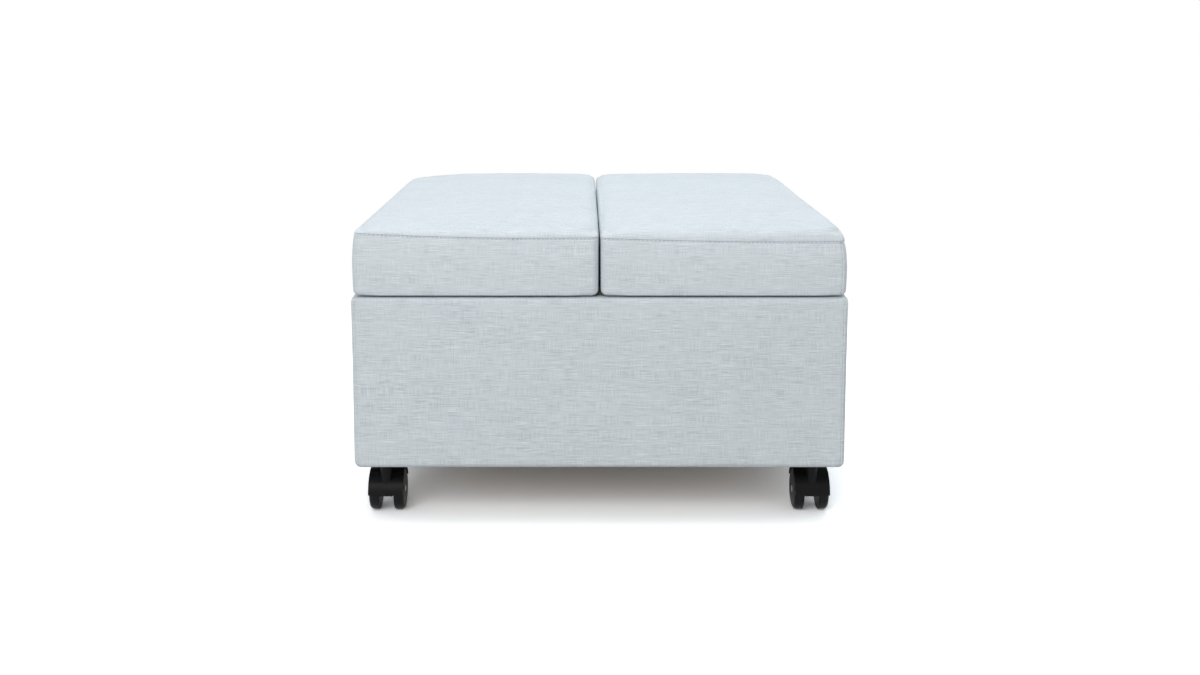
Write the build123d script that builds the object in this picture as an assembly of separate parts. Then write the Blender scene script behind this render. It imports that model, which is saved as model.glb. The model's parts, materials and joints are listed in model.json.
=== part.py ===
from build123d import *
import os

# An upholstered ottoman on casters that folds out into a single guest bed.
# Origin on the floor under the middle, +X to the right, +Y to the back, +Z up.
# Two top cushions flip outwards by half a turn, and the end panels roll out first to carry them.

# Overall sizes of the closed ottoman
overall_width = 900.0
overall_depth = 900.0
caster_height = 106.0
box_height = 318.0
cushion_height = 114.0
seam_gap = 3.0
overrun = 5.0

# Upholstered box
cover_thickness = 5.0
board_thickness = 18.0
box_side_radius = 10.0
box_bottom_radius = 12.0
box_top_radius = 4.5
piece_gap = 2.0

# Top cushions
split_gap = 5.0
cushion_side_inset = 2.0
cushion_end_inset = 1.0
cushion_top_radius = 14.0
cushion_corner_radius = 18.0
cushion_bottom_radius = 8.0
cushion_border = 20.0
wing_board_thickness = 12.0
sleep_pad_thickness = 39.5
pad_clearance = 0.5

# Middle of the bed
mattress_thickness = 120.0
mattress_drop = 1.0
mattress_clearance = 3.0
mattress_corner_radius = 60.0
mattress_edge_radius = 12.0
slat_count = 7
slat_width = 60.0
slat_thickness = 15.0
slat_end_inset = 22.0
ledger_height = 30.0
ledger_thickness = 20.0
corner_block_leg = 25.0
corner_block_foot = 12.0
stretcher_height_share = 11 / 21
stretcher_thickness = 22.0
stretcher_spacing = 400.0
stretcher_rise_share = 1 / 7
dust_panel_thickness = 3.0
dust_panel_rise = 6.0
dust_panel_margin = 16.0

# Pull-out ends
cushion_crown = 8.0
rest_clearance = 3.0
rail_height = 40.0
rail_width = 20.0
rail_wall = 2.0
rail_rise = 28.0
rail_inset = 22.0
rail_spacing = 25.0
rail_tip_inset = 50.0
flange_size = 48.0
flange_thickness = 4.0
guide_length = 60.0
middle_guide_length = 180.0
guide_offset_share = 100 / 117
guide_margin = 8.0
guide_clearance = 0.3
caster_block_height = 23.0
caster_block_width = 76.0
caster_block_clearance = 4.0

# Hinges between the box and the cushions
hinge_count = 3
hinge_spacing = 320.0
hinge_length = 60.0
knuckle_radius = 3.5
knuckle_gap = 0.3
hinge_pin_radius = 1.75
hinge_pin_clearance = 0.05
strap_thickness = 1.5
base_strap_length = 52.0
wing_strap_length = 58.0
strap_standoff = 0.1
hinge_axis_outset = 1.5
hinge_screw_spacing = 32.0
hinge_screw_radius = 2.0
hinge_screw_head_radius = 4.0
hinge_screw_head_height = 1.2
base_screw_length = 24.0
wing_screw_length = 45.0
base_screw_drop = 38.0

# Casters
caster_side_inset = 50.0
caster_end_inset = 58.0
caster_trail = 25.0
wheel_radius = 37.5
wheel_width = 18.5
wheel_outer_edge_radius = 7.0
wheel_inner_edge_radius = 2.0
wheel_hub_radius = 7.0
wheel_hub_depth = 1.5
wheel_gap = 1.0
web_width = 26.0
web_radius = 14.5
axle_radius = 4.0
axle_clearance = 0.05
axle_head_radius = 6.0
fender_clearance = 1.5
fender_thickness = 3.5
fender_front_rise = 1.5
fender_back_rise = 16.0
neck_radius = 11.0
neck_sink = 46.0
kingpin_radius = 5.0
kingpin_length = 16.0
plate_size = 60.0
plate_thickness = 3.0
plate_corner_radius = 6.0
plate_gap = 0.5
plate_screw_spacing = 40.0
plate_screw_radius = 2.2
plate_screw_head_radius = 4.2
plate_screw_head_height = 1.8
plate_screw_length = 18.0

# Places worked out from the sizes
half_width = overall_width / 2
half_depth = overall_depth / 2
box_bottom = caster_height
box_top = box_bottom + box_height
cushion_bottom = box_top + seam_gap
cushion_top = cushion_bottom + cushion_height
hinge_height = box_top + seam_gap / 2
hinge_reach = half_width + hinge_axis_outset
board_outside_x = half_width - cover_thickness
board_inside_x = board_outside_x - board_thickness
board_outside_y = half_depth - cover_thickness
board_inside_y = board_outside_y - board_thickness
end_panel_top = 2 * hinge_height - cushion_top - cushion_crown - rest_clearance
top_rail_bottom = end_panel_top + piece_gap
mattress_top = box_top - mattress_drop
mattress_bottom = mattress_top - mattress_thickness
slat_bottom = mattress_bottom - slat_thickness
ledger_bottom = slat_bottom - ledger_height
rail_bottom = box_bottom + rail_rise
rail_top = rail_bottom + rail_height
outer_rail_y = board_inside_y - rail_inset - rail_width / 2
inner_rail_y = outer_rail_y - rail_spacing
stretcher_room = ledger_bottom - rail_top
stretcher_rise = stretcher_room * stretcher_rise_share
stretcher_height = stretcher_room * stretcher_height_share
caster_block_inside = board_inside_x - caster_block_width
dust_panel_reach = caster_block_inside - dust_panel_margin
guide_offset = caster_block_inside * guide_offset_share
caster_x = half_width - caster_side_inset
caster_y = half_depth - caster_end_inset
web_half = web_width / 2
fender_inner = wheel_radius + fender_clearance
fender_outer = fender_inner + fender_thickness
wheel_outside = web_half + wheel_gap + wheel_width


def block(x_span, y_span, z_span):
    """A box between two places along each axis."""
    size = [abs(b - a) for a, b in (x_span, y_span, z_span)]
    middle = [(a + b) / 2 for a, b in (x_span, y_span, z_span)]
    return Pos(*middle) * Box(*size)


def rod_along_x(radius, x_span, y, z):
    """A round bar along X."""
    length = abs(x_span[1] - x_span[0])
    return Pos(sum(x_span) / 2, y, z) * Rot(0, 90, 0) * Cylinder(radius, length)


def rod_along_y(radius, x, y_span, z):
    """A round bar along Y."""
    length = abs(y_span[1] - y_span[0])
    return Pos(x, sum(y_span) / 2, z) * Rot(90, 0, 0) * Cylinder(radius, length)


def rod_along_z(radius, x, y, z_span):
    """A round bar along Z."""
    length = abs(z_span[1] - z_span[0])
    return Pos(x, y, sum(z_span) / 2) * Cylinder(radius, length)


def box_form():
    """The outer form of the upholstered box, with its rounded edges."""
    form = block((-half_width, half_width), (-half_depth, half_depth), (box_bottom, box_top))
    form = fillet(form.edges().filter_by(Axis.Z), box_side_radius)
    form = fillet(form.faces().sort_by(Axis.Z)[0].edges(), box_bottom_radius)
    return fillet(form.faces().sort_by(Axis.Z)[-1].edges(), box_top_radius)


def front_parts(side):
    """Board and cover of the front (side -1) or back (side 1) of the box."""
    y_board = (side * board_inside_y, side * board_outside_y)
    z_board = (box_bottom + cover_thickness, box_top - cover_thickness)
    board = block((-board_outside_x, board_outside_x), y_board, z_board)
    slab = block(
        (-overall_width, overall_width), (side * board_inside_y, side * overall_depth), (0, overall_width)
    )
    cover = (box_form() & slab) - board
    return board, cover


def end_parts(side, z_span):
    """Board and cover of one stretch of the left (side -1) or right (side 1) end."""
    reach = board_inside_y - piece_gap
    y_cover = (-reach, reach)
    y_board = (-reach + cover_thickness, reach - cover_thickness)
    z_board = (z_span[0] + cover_thickness, z_span[1] - cover_thickness)
    board = block((side * board_inside_x, side * board_outside_x), y_board, z_board)
    slab = block((side * board_inside_x, side * overall_width), y_cover, z_span)
    return board, (box_form() & slab) - board


def cushion_parts(side):
    """Cushion, board and sleeping pad of one top half."""
    x_out = side * (half_width - cushion_side_inset)
    x_in = side * split_gap / 2
    y_out = half_depth - cushion_end_inset
    form = block((x_in, x_out), (-y_out, y_out), (cushion_bottom, cushion_top))
    form = fillet(form.edges().filter_by(Axis.Z), cushion_corner_radius)
    form = fillet(form.faces().sort_by(Axis.Z)[-1].edges(), cushion_top_radius)
    form = fillet(form.faces().sort_by(Axis.Z)[0].edges(), cushion_bottom_radius)
    x_pocket = (x_in + side * cushion_border, x_out - side * cushion_border)
    y_pocket = y_out - cushion_border
    pad_top = cushion_bottom + pad_clearance + sleep_pad_thickness
    board_top = pad_top + wing_board_thickness
    pocket = block(x_pocket, (-y_pocket, y_pocket), (cushion_bottom - overrun, board_top))
    cushion = form - pocket
    board = block(x_pocket, (-y_pocket, y_pocket), (pad_top, board_top))
    x_pad = (x_pocket[0] + side * pad_clearance, x_pocket[1] - side * pad_clearance)
    y_pad = y_pocket - pad_clearance
    pad = block(x_pad, (-y_pad, y_pad), (cushion_bottom + pad_clearance, pad_top))
    for screw in wing_hinge_screws(side):
        cushion = cushion - screw
        board = board - screw
    return cushion, board, pad


def hinge_places():
    """Places of the hinges along the depth."""
    first = -hinge_spacing * (hinge_count - 1) / 2
    return [first + i * hinge_spacing for i in range(hinge_count)]


def knuckle(side, y_span):
    """One hinge knuckle with its bore."""
    x = side * hinge_reach
    bore_span = (y_span[0] - overrun, y_span[1] + overrun)
    bore = rod_along_y(hinge_pin_radius + hinge_pin_clearance, x, bore_span, hinge_height)
    return rod_along_y(knuckle_radius, x, y_span, hinge_height), bore


def base_strap(side, y):
    """Hinge strap on the box's end, with the two outer knuckles."""
    third = hinge_length / 3
    x_in = side * (half_width + strap_standoff)
    x_out = x_in + side * strap_thickness
    half = hinge_length / 2
    strap = block((x_in, x_out), (y - half, y + half), (hinge_height - base_strap_length, hinge_height))
    room = knuckle_radius + knuckle_gap
    notch_y = (y - third / 2 - knuckle_gap, y + third / 2 + knuckle_gap)
    strap -= block(
        (x_in - side * overrun, x_out + side * overrun), notch_y, (hinge_height - room, hinge_height + room)
    )
    for start in (y - half, y + third / 2 + knuckle_gap):
        body, bore = knuckle(side, (start, start + third - knuckle_gap))
        strap = (strap + body) - bore
    for screw in base_hinge_screws_at(side, y):
        strap = strap - screw
    return strap


def wing_strap(side, y):
    """Hinge strap on the cushion's outer side, with the middle knuckle."""
    third = hinge_length / 3
    x_in = side * (half_width - cushion_side_inset + strap_standoff)
    x_out = x_in + side * strap_thickness
    half = hinge_length / 2
    room = knuckle_radius + knuckle_gap
    strap = block(
        (x_in, x_out), (y - half, y + half), (hinge_height + room, hinge_height + wing_strap_length)
    )
    tongue = (y - third / 2, y + third / 2)
    strap += block((x_in, x_out), tongue, (hinge_height, hinge_height + room))
    body, bore = knuckle(side, tongue)
    strap = (strap + body) - bore
    for screw in wing_hinge_screws_at(side, y):
        strap = strap - screw
    return strap


def screw_inwards(side, x_face, y, z, length):
    """A pan-head screw that goes inwards through a strap's outer face."""
    head = rod_along_x(hinge_screw_head_radius, (x_face, x_face + side * hinge_screw_head_height), y, z)
    return head + rod_along_x(hinge_screw_radius, (x_face, x_face - side * length), y, z)


def base_hinge_screws_at(side, y):
    """The two screws of one strap on the box."""
    face = side * (half_width + strap_standoff + strap_thickness)
    z = hinge_height - base_screw_drop
    offsets = [s * hinge_screw_spacing / 2 for s in (-1, 1)]
    return [screw_inwards(side, face, y + offset, z, base_screw_length) for offset in offsets]


def wing_hinge_screws_at(side, y):
    """The two screws of one strap on the cushion, into its board."""
    face = side * (half_width - cushion_side_inset + strap_standoff + strap_thickness)
    z = cushion_bottom + pad_clearance + sleep_pad_thickness + wing_board_thickness / 2
    offsets = [s * hinge_screw_spacing / 2 for s in (-1, 1)]
    return [screw_inwards(side, face, y + offset, z, wing_screw_length) for offset in offsets]


def wing_hinge_screws(side):
    """All the screws that hold one cushion's straps."""
    return [screw for y in hinge_places() for screw in wing_hinge_screws_at(side, y)]


def base_hinge_screws(side):
    """All the screws that hold the straps on one end of the box."""
    return [screw for y in hinge_places() for screw in base_hinge_screws_at(side, y)]


def hinge_pins(side):
    """The pins of one end's hinges."""
    half = hinge_length / 2
    x = side * hinge_reach
    return [rod_along_y(hinge_pin_radius, x, (y - half, y + half), hinge_height) for y in hinge_places()]


def center_mattress():
    """The foam mattress that lies in the box."""
    x = board_inside_x - mattress_clearance
    y = board_inside_y - mattress_clearance
    form = block((-x, x), (-y, y), (mattress_bottom, mattress_top))
    form = fillet(form.edges().filter_by(Axis.Z), mattress_corner_radius)
    return fillet(form.faces().sort_by(Axis.Z)[-1].edges(), mattress_edge_radius)


def slats():
    """Wooden slats from front to back under the mattress."""
    reach = board_inside_x - slat_end_inset - slat_width / 2
    step = 2 * reach / (slat_count - 1)
    places = [-reach + i * step for i in range(slat_count)]
    y = (-board_inside_y, board_inside_y)
    z = (slat_bottom, mattress_bottom)
    return [block((x - slat_width / 2, x + slat_width / 2), y, z) for x in places]


def ledgers():
    """Bearers on the front and back boards that carry the slats."""
    x = (-board_inside_x + slat_end_inset, board_inside_x - slat_end_inset)
    z = (ledger_bottom, slat_bottom)
    return [block(x, (s * (board_inside_y - ledger_thickness), s * board_inside_y), z) for s in (-1, 1)]


def corner_blocks():
    """Three-cornered glue blocks between the boards and the top rails."""
    z_low = top_rail_bottom + corner_block_foot
    height = box_top - cover_thickness - z_low
    blocks = []
    for sx in (-1, 1):
        for sy in (-1, 1):
            x, y = sx * board_inside_x, sy * board_inside_y
            outline = Polyline(
                (x, y), (x - sx * corner_block_leg, y), (x, y - sy * corner_block_leg), close=True
            )
            blocks.append(Pos(0, 0, z_low) * extrude(make_face(outline), height, dir=(0, 0, 1)))
    return blocks


def stretchers():
    """Bearers from the front board to the back board, over the sliding rails."""
    y = (-board_inside_y, board_inside_y)
    z_low = rail_top + stretcher_rise
    half = stretcher_thickness / 2
    places = [s * stretcher_spacing / 2 for s in (-1, 1)]
    return [block((x - half, x + half), y, (z_low, z_low + stretcher_height)) for x in places]


def dust_panel():
    """Thin board that closes the underside between the casters."""
    z_low = box_bottom + dust_panel_rise
    x = (-dust_panel_reach, dust_panel_reach)
    return block(x, (-board_inside_y, board_inside_y), (z_low, z_low + dust_panel_thickness))


def rail_y(side):
    """The two end carriages' rails lie side by side: the left one's outside, the right one's inside."""
    return outer_rail_y if side < 0 else inner_rail_y


def carriage_rails(side):
    """Two steel box rails with their end flanges, for one pull-out end."""
    start = side * board_inside_x
    tip = -side * (board_inside_x - rail_tip_inset)
    z_mid = (rail_bottom + rail_top) / 2
    half = rail_width / 2
    rails = []
    for s in (-1, 1):
        y = s * rail_y(side)
        tube = block((start, tip), (y - half, y + half), (rail_bottom, rail_top))
        hollow = block(
            (start - side * flange_thickness, tip - side * overrun),
            (y - half + rail_wall, y + half - rail_wall),
            (rail_bottom + rail_wall, rail_top - rail_wall),
        )
        flange = block(
            (start, start - side * flange_thickness),
            (y - flange_size / 2, y + flange_size / 2),
            (z_mid - flange_size / 2, z_mid + flange_size / 2),
        )
        rails.append((tube - hollow) + flange)
    return rails


def rail_guides():
    """Nylon guides on the front and back boards, with a window for each rail."""
    y_low = inner_rail_y - rail_width / 2 - guide_margin
    z_span = (rail_bottom - guide_margin, rail_top + guide_margin)
    guides = []
    places = ((-guide_offset, guide_length), (0, middle_guide_length), (guide_offset, guide_length))
    for s in (-1, 1):
        for x, length in places:
            x_span = (x - length / 2, x + length / 2)
            guide = block(x_span, (s * y_low, s * board_inside_y), z_span)
            for y in (outer_rail_y, inner_rail_y):
                half = rail_width / 2 + guide_clearance
                guide -= block(
                    (x_span[0] - overrun, x_span[1] + overrun),
                    (s * y - half, s * y + half),
                    (rail_bottom - guide_clearance, rail_top + guide_clearance),
                )
            guides.append(guide)
    return guides


def caster_blocks(side):
    """Timber blocks behind one end panel, over its casters."""
    x = (side * board_inside_x, side * (board_inside_x - caster_block_width))
    y_out = board_inside_y - caster_block_clearance
    y_in = y_out - caster_block_width
    z = (box_bottom, box_bottom + caster_block_height)
    return [block(x, (s * y_in, s * y_out), z) for s in (-1, 1)]


def plate_screws(x, y):
    """The four screws of one caster plate."""
    z = box_bottom - plate_thickness
    half = plate_screw_spacing / 2
    screws = []
    for dx in (-half, half):
        for dy in (-half, half):
            head = rod_along_z(plate_screw_head_radius, x + dx, y + dy, (z - plate_screw_head_height, z))
            shank = rod_along_z(plate_screw_radius, x + dx, y + dy, (z, z + plate_screw_length))
            screws.append(head + shank)
    return screws


def caster_plate(x, y):
    """Mounting plate of one caster, with its kingpin."""
    half = plate_size / 2
    z = (box_bottom - plate_thickness, box_bottom)
    plate = block((x - half, x + half), (y - half, y + half), z)
    plate = fillet(plate.edges().filter_by(Axis.Z), plate_corner_radius)
    plate += rod_along_z(kingpin_radius, x, y, (z[0] - kingpin_length, z[0]))
    for screw in plate_screws(x, y):
        plate = plate - screw
    return plate


def outward(y):
    """The side of a caster that its hood faces, towards the nearer of front (-1) and back (1)."""
    return -1 if y < 0 else 1


def axle_place(y):
    """Where the axle of a caster is along Y: each one trails towards the middle."""
    return y - outward(y) * caster_trail


def caster_fork(x, y):
    """Hood of one twin-wheel caster: neck, web between the wheels and a fender over them."""
    axle_y = axle_place(y)
    neck_top = box_bottom - plate_thickness - plate_gap
    full = (x - wheel_outside, x + wheel_outside)
    shell = rod_along_x(fender_outer, full, axle_y, wheel_radius)
    inner = (full[0] - overrun, full[1] + overrun)
    shell -= rod_along_x(fender_inner, inner, axle_y, wheel_radius)
    front_low = wheel_radius + fender_front_rise
    back_low = wheel_radius + fender_back_rise
    out = outward(y)
    reach = (axle_y, axle_y - out * 2 * fender_outer)
    shell -= block(inner, reach, (-overrun, back_low))
    shell -= block(inner, (axle_y, axle_y + out * 2 * fender_outer), (-overrun, front_low))
    web_span = (x - web_half, x + web_half)
    web = rod_along_x(fender_outer, web_span, axle_y, wheel_radius)
    web -= block(
        (inner[0], inner[1]), (axle_y - 2 * fender_outer, axle_y + 2 * fender_outer), (-overrun, wheel_radius)
    )
    web -= block(inner, reach, (-overrun, back_low))
    web += rod_along_x(web_radius, web_span, axle_y, wheel_radius)
    back_web = block(web_span, (axle_y, axle_y - out * web_radius), (wheel_radius, back_low + overrun))
    fork = shell + web + back_web
    neck = rod_along_z(neck_radius, x, y, (neck_top - neck_sink, neck_top))
    neck -= rod_along_x(fender_inner, inner, axle_y, wheel_radius) - block(
        web_span, (y - overall_depth, y + overall_depth), (0, overall_depth)
    )
    fork += neck
    bore_low = neck_top - kingpin_length
    fork -= rod_along_z(kingpin_radius + axle_clearance, x, y, (bore_low, neck_top + overrun))
    return fork - rod_along_x(axle_radius, full, axle_y, wheel_radius)


def caster_axle(x, y):
    """Steel axle of one caster, with a round head in the hub recess at each end."""
    span = (x - wheel_outside, x + wheel_outside)
    axle_y = axle_place(y)
    axle = rod_along_x(axle_radius, span, axle_y, wheel_radius)
    for s in (-1, 1):
        end = x + s * wheel_outside
        inside = x + s * (wheel_outside - wheel_hub_depth + axle_clearance)
        axle += rod_along_x(axle_head_radius, (inside, end), axle_y, wheel_radius)
    return axle


def caster_wheel(x, y, s):
    """One wheel of a caster, left (s -1) or right (s 1), with a rounded outer face and a hub recess."""
    axle_y = axle_place(y)
    x_in = x + s * (web_half + wheel_gap)
    x_out = x + s * wheel_outside
    wheel = rod_along_x(wheel_radius, (x_in, x_out), axle_y, wheel_radius)
    rims = wheel.edges().filter_by(GeomType.CIRCLE).sort_by(Axis.X)
    wheel = fillet(rims[-1] if s > 0 else rims[0], wheel_outer_edge_radius)
    rims = wheel.edges().filter_by(GeomType.CIRCLE).sort_by(Axis.X)
    wheel = fillet(rims[0] if s > 0 else rims[-1], wheel_inner_edge_radius)
    hub = (x_out - s * wheel_hub_depth, x_out + s * overrun)
    wheel -= rod_along_x(wheel_hub_radius, hub, axle_y, wheel_radius)
    return wheel - rod_along_x(
        axle_radius + axle_clearance, (x_in - s * overrun, x_out + s * overrun), axle_y, wheel_radius
    )


def save(name, *solids):
    """Writes one node, a single solid or a group of separate ones."""
    shape = solids[0] if len(solids) == 1 else Compound(children=list(solids))
    export_step(shape, f"parts/{name}.step")


def save_box():
    """Boards, covers, hinge straps and the middle of the bed."""
    for name, side in (("front", -1), ("back", 1)):
        board, cover = front_parts(side)
        save(f"{name}_board", board)
        save(f"{name}_cover", cover)
    for name, side in (("left", -1), ("right", 1)):
        rail, cover = end_parts(side, (top_rail_bottom, box_top))
        for screw in base_hinge_screws(side):
            rail = rail - screw
            cover = cover - screw
        save(f"{name}_top_rail", rail)
        save(f"{name}_top_rail_cover", cover)
        save(f"{name}_hinge_base_straps", *[base_strap(side, y) for y in hinge_places()])
        save(f"{name}_hinge_base_screws", *base_hinge_screws(side))
        save(f"{name}_hinge_pins", *hinge_pins(side))
    save("center_mattress", center_mattress())
    save("mattress_slats", *slats())
    save("slat_ledgers", *ledgers())
    save("corner_blocks", *corner_blocks())
    save("cross_stretchers", *stretchers())
    save("dust_panel", dust_panel())
    save("rail_guides", *rail_guides())


def save_cushions():
    """The two flip-over halves of the top."""
    for name, side in (("left", -1), ("right", 1)):
        cushion, board, pad = cushion_parts(side)
        save(f"{name}_cushion", cushion)
        save(f"{name}_cushion_board", board)
        save(f"{name}_sleep_pad", pad)
        save(f"{name}_hinge_wing_straps", *[wing_strap(side, y) for y in hinge_places()])
        save(f"{name}_hinge_wing_screws", *wing_hinge_screws(side))


def save_carriages():
    """The two pull-out ends, with what their casters hang from."""
    for name, side in (("left", -1), ("right", 1)):
        board, cover = end_parts(side, (box_bottom, end_panel_top))
        x = side * caster_x
        places = [(x, -caster_y), (x, caster_y)]
        screws = [screw for place in places for screw in plate_screws(*place)]
        blocks = caster_blocks(side)
        for screw in screws:
            blocks = [timber - screw for timber in blocks]
        save(f"{name}_end_board", board)
        save(f"{name}_end_cover", cover)
        save(f"{name}_slide_rails", *carriage_rails(side))
        save(f"{name}_caster_blocks", *blocks)
        save(f"{name}_caster_plates", *[caster_plate(*place) for place in places])
        save(f"{name}_caster_screws", *screws)


def save_casters():
    """The four twin-wheel swivel casters."""
    for row, y in (("front", -caster_y), ("back", caster_y)):
        for name, side in (("left", -1), ("right", 1)):
            x = side * caster_x
            save(f"{row}_{name}_caster_fork", caster_fork(x, y))
            save(f"{row}_{name}_caster_axle", caster_axle(x, y))
            save(f"{row}_{name}_caster_wheel_a", caster_wheel(x, y, -1))
            save(f"{row}_{name}_caster_wheel_b", caster_wheel(x, y, 1))


os.makedirs("parts", exist_ok=True)
save_box()
save_cushions()
save_carriages()
save_casters()
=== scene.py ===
# %% [markdown]
# # An ottoman that folds out into a guest bed
# The real object is a square box on casters with two linen cushions on top. Its size, joints and hard parts
# come from a packed model, which is loaded first. Pieces could be placed by eye instead, but they would drift
# away from the joints. The model fixes where everything is, so each new piece only has to look right.
# %% Load the model
import json
import math
import bpy
import numpy as np
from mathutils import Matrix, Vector


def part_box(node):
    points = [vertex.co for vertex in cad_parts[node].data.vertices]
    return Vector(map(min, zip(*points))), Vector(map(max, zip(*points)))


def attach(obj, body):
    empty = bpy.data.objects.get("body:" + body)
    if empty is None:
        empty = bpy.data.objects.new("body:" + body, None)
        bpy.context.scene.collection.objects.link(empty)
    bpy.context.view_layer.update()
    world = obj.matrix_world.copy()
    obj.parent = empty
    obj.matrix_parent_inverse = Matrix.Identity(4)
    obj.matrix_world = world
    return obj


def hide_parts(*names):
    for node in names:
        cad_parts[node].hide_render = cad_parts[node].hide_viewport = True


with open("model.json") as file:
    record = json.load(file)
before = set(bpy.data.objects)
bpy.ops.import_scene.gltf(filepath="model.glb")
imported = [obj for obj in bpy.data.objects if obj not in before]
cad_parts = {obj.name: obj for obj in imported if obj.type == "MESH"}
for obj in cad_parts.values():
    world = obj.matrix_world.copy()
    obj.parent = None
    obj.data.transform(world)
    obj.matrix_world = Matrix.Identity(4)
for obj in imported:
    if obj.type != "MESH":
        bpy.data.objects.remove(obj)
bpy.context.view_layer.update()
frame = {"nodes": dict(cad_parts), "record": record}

# %% [markdown]
# ## The camera
# The photograph was taken from the front, a little above the top. Its lens was shifted down so that upright
# edges stay nearly upright. A level camera with all of that shift would match best, but its frame would cut
# the object off in other views. So part of the shift is replaced by tilting.
# %% Camera
IMAGE_WIDTH = 1200
FOCAL_PIXELS = 1276.4
TILT = 0.12
SHIFT_PIXELS = (-16.4, -158.6)
CAMERA_PLACE = (-0.0289, -2.7101, 0.9136)

camera = bpy.data.objects.new("camera", bpy.data.cameras.new("camera"))
bpy.context.scene.collection.objects.link(camera)
bpy.context.scene.camera = camera
camera.data.lens = camera.data.sensor_width * FOCAL_PIXELS / IMAGE_WIDTH
camera.data.shift_x = -SHIFT_PIXELS[0] / IMAGE_WIDTH
camera.data.shift_y = SHIFT_PIXELS[1] / IMAGE_WIDTH
camera.location = CAMERA_PLACE
camera.rotation_euler = (math.pi / 2 - TILT, 0, 0)
print("lens", round(camera.data.lens, 1), "mm, shift", round(camera.data.shift_y, 3))

# %% [markdown]
# ## Sums on shader sockets
# Real cloth and timber vary from place to place, and a finish says how. It could be drawn as a web of nodes,
# but a sum is easier to read. The first small class wraps a socket, so that writing `1 - mask` adds the Math
# node that works it out. The second adds any other node in one call. Colours are mixed and never summed,
# because a Math node turns a colour grey.
# %% Shader sums
class Value:
    """A number, colour, vector or shader that a node gives, so that sums on it add Math nodes."""

    def __init__(self, nodes, socket):
        self.nodes, self.socket = nodes, socket

    def math(self, operation, *others):
        """The named operation of a Math node on this value and the others."""
        return self.nodes.node("Math", {"operation": operation}, dict(enumerate((self, *others))))

    def __add__(self, other): return self.math("ADD", other)
    def __sub__(self, other): return self.math("SUBTRACT", other)
    def __mul__(self, other): return self.math("MULTIPLY", other)
    def __rsub__(self, other): return (self * -1) + other
    __radd__, __rmul__ = __add__, __mul__

    def between(self, low, high):
        """0 up to low, 1 from high, and smooth in between."""
        settings = {"interpolation_type": "SMOOTHSTEP"}
        return self.nodes.node("MapRange", settings, {0: self, 1: low, 2: high})


print("sums on sockets: + - * and between")

# %% Nodes in one call
class Nodes:
    """A tree of shader nodes that are added one call at a time."""

    def __init__(self, tree):
        self.tree = tree

    def node(self, kind, settings=None, inputs=None, output=0):
        """Any node: its settings are set first, then its sockets get values or links."""
        made = self.tree.nodes.new("ShaderNode" + kind)
        for label, value in (settings or {}).items():
            setattr(made, label, value)
        for key, value in (inputs or {}).items():
            if isinstance(value, Value):
                self.tree.links.new(value.socket, made.inputs[key])
            else:
                made.inputs[key].default_value = value
        return Value(self, made.outputs[output]) if made.outputs else None

    def mix(self, share, first, second):
        """A colour between two colours."""
        return self.node("Mix", {"data_type": "RGBA"}, {0: share, 6: first, 7: second}, 2)

    def noise(self, place, scale, detail=2.0):
        """Cloudy noise, with its own scale along each axis."""
        stretched = self.node("VectorMath", {"operation": "MULTIPLY"}, {0: place, 1: scale})
        return self.node("TexNoise", None, {"Vector": stretched, "Scale": 1.0, "Detail": detail})


print("shortcuts of a node tree:", [name for name in vars(Nodes) if name[0] != "_"])

# %% [markdown]
# ## A finish and its colours
# Each surface of the object gets one material round a Principled shader. What is the same all over it is
# written straight on the shader's sockets, because the export drops constants that come through a link. What
# changes over it is fed in. Colours are written as they look on a screen, because that is how they were
# matched to the photograph, and turned into the linear ones that a shader takes.
# %% Finish and colours
class Finish(Nodes):
    """A material with one Principled shader: constants on its sockets, and fed values that change."""

    def __init__(self, name, **constants):
        self.material = bpy.data.materials.new(name)
        self.material.use_nodes = True
        super().__init__(self.material.node_tree)
        self.shader = self.tree.nodes["Principled BSDF"]
        for label, value in constants.items():
            self.shader.inputs[label.replace("_", " ")].default_value = value

    def feed(self, **fields):
        """Links values to the shader's sockets, which are named with _ for a space."""
        for label, value in fields.items():
            self.tree.links.new(value.socket, self.shader.inputs[label.replace("_", " ")])
        return self.material

    def relief(self, height, depth, strength=1.0):
        """Bump of that depth in metres."""
        return self.node("Bump", None, {"Strength": strength, "Distance": depth, "Height": height})

    def place(self):
        """The point's own place on the piece, in metres."""
        return self.node("TexCoord", output="Object")


def srgb(red, green, blue):
    """A screen colour from 0 to 255 as a linear one: a power of 2.4, with a straight run near black."""
    screen = np.array([red, green, blue]) / 255
    linear = np.where(screen <= 0.04045, screen / 12.92, ((screen + 0.055) / 1.055) ** 2.4)
    return (*linear.tolist(), 1.0)


print("screen grey 128 is linear", round(srgb(128, 128, 128)[0], 3))

# %% [markdown]
# ## Linen
# The cover is a plain weave with slubs: places where a thread is thicker and paler, mostly along the width.
# It could be a picture of cloth, but then it would be tied to one size. Here two waves at right angles make
# the weave, and noise stretched along the threads makes the slubs. The pattern reads the piece's own UV map,
# in metres, so it stays on the cloth when a piece turns.
# %% Linen finish
THREAD = 0.0011


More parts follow.
